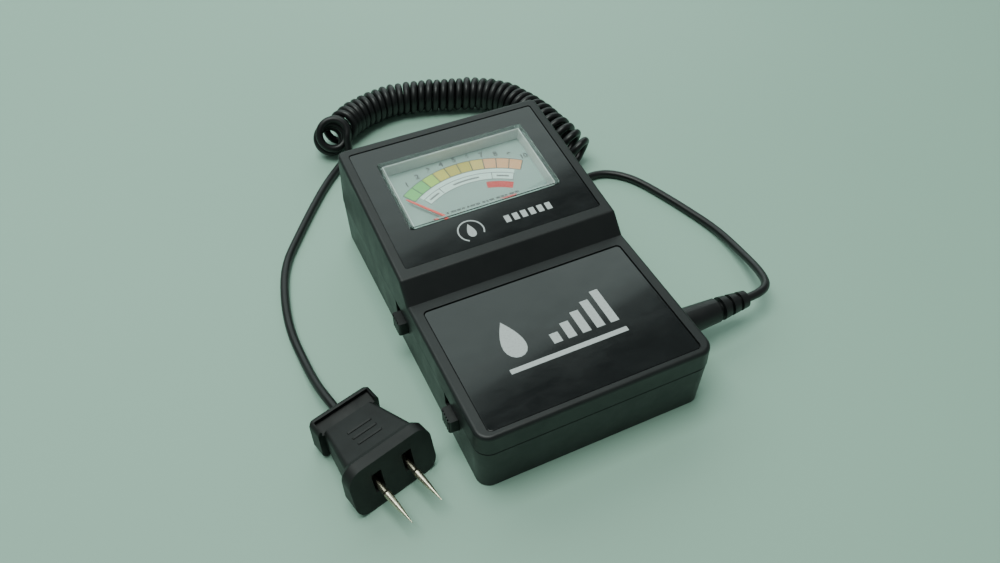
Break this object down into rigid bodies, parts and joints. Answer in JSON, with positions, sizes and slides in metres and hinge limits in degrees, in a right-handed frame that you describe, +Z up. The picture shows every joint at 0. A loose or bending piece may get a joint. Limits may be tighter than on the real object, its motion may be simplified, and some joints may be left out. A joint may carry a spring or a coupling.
{
  "type": "pin-type moisture meter",
  "caption": "Handheld needle-dial moisture meter with a curly probe lead and a two-pin probe, dark plastic case with a stepped top.",
  "frame": {"origin": "middle of the case's flat underside (the lead and probe are not counted)", "axes": "+Z up, +Y towards the raised display end, +X towards the side with the jack"},
  "size_m": [0.1697, 0.2016, 0.0396],
  "materials": {
    "case_plastic": "fine texture",
    "panel_gloss": "gloss",
    "clear_lens": "polished clear",
    "dial_paper": "printed",
    "chassis_plastic": "moulded",
    "yoke_steel": "turned",
    "magnet_metal": "ground",
    "bridge_aluminium": "stamped",
    "brass": "turned",
    "coil_aluminium": "wound wire over a former",
    "staff_steel": "polished",
    "pointer_red": "painted",
    "screw_steel": "plated",
    "board_green": "solder mask",
    "chip_plastic": "moulded",
    "trimmer_blue": "moulded",
    "capacitor_sleeve": "sleeve",
    "resistor_body": "lacquered",
    "switch_steel": "plated",
    "knob_plastic": "moulded",
    "nickel": "plated",
    "plug_plastic": "moulded",
    "cord_jacket": "satin soft plastic",
    "probe_plastic": "moulded",
    "pin_metal": "plated, ground to a point",
    "battery_can": "wrapped can",
    "snap_plastic": "soft plastic"
  },
  "bodies": {
    "meter": {"upper_shell": "case_plastic", "lower_shell": "case_plastic", "front_panel": "panel_gloss", "display_bezel": "panel_gloss", "meter_lens": "clear_lens", "dial_plate": "dial_paper", "meter_chassis": "chassis_plastic", "yoke_ring": "yoke_steel", "core_magnet": "magnet_metal", "top_bridge": "bridge_aluminium", "jewel_bearings": "brass", "hairspring": "brass", "dial_screws": "screw_steel", "chassis_screws": "screw_steel", "circuit_board": "board_green", "amplifier_chip": "chip_plastic", "calibration_trimmers": "trimmer_blue", "capacitors": "capacitor_sleeve", "resistors": "resistor_body", "transistors": "chip_plastic", "power_switch_body": "switch_steel", "range_switch_body": "switch_steel", "jack_socket": "chassis_plastic", "plug_contact": "nickel", "plug_handle": "plug_plastic", "meter_cord": "cord_jacket", "coil_cord": "cord_jacket", "probe_cord": "cord_jacket", "probe_body": "probe_plastic", "probe_pins": "pin_metal", "battery": "battery_can", "battery_snap": "snap_plastic", "case_screws": "screw_steel", "board_screws": "screw_steel"},
    "movement": {"pointer": "pointer_red", "moving_coil": "coil_aluminium", "pivot_staffs": "staff_steel"},
    "power_switch": {"power_switch_knob": "knob_plastic"},
    "range_switch": {"range_switch_knob": "knob_plastic"},
    "door": {"battery_door": "case_plastic"}
  },
  "joints": [
    {"name": "pointer_swing", "type": "hinge", "parent": "meter", "child": "movement", "pos_m": [0, 0.006, 0.02018], "axis": [0, -0.1156, 0.9933], "range_deg": [-73, 0], "stiffness_Nm_per_rad": 0.000001},
    {"name": "power_switch_slide", "type": "slide", "parent": "meter", "child": "power_switch", "axis": [0, 1, 0], "range_m": [0, 0.0047]},
    {"name": "range_switch_slide", "type": "slide", "parent": "meter", "child": "range_switch", "axis": [0, 1, 0], "range_m": [0, 0.0047]},
    {"name": "battery_door_slide", "type": "slide", "parent": "meter", "child": "door", "axis": [0, 1, 0], "range_m": [0, 0.033]}
  ]
}
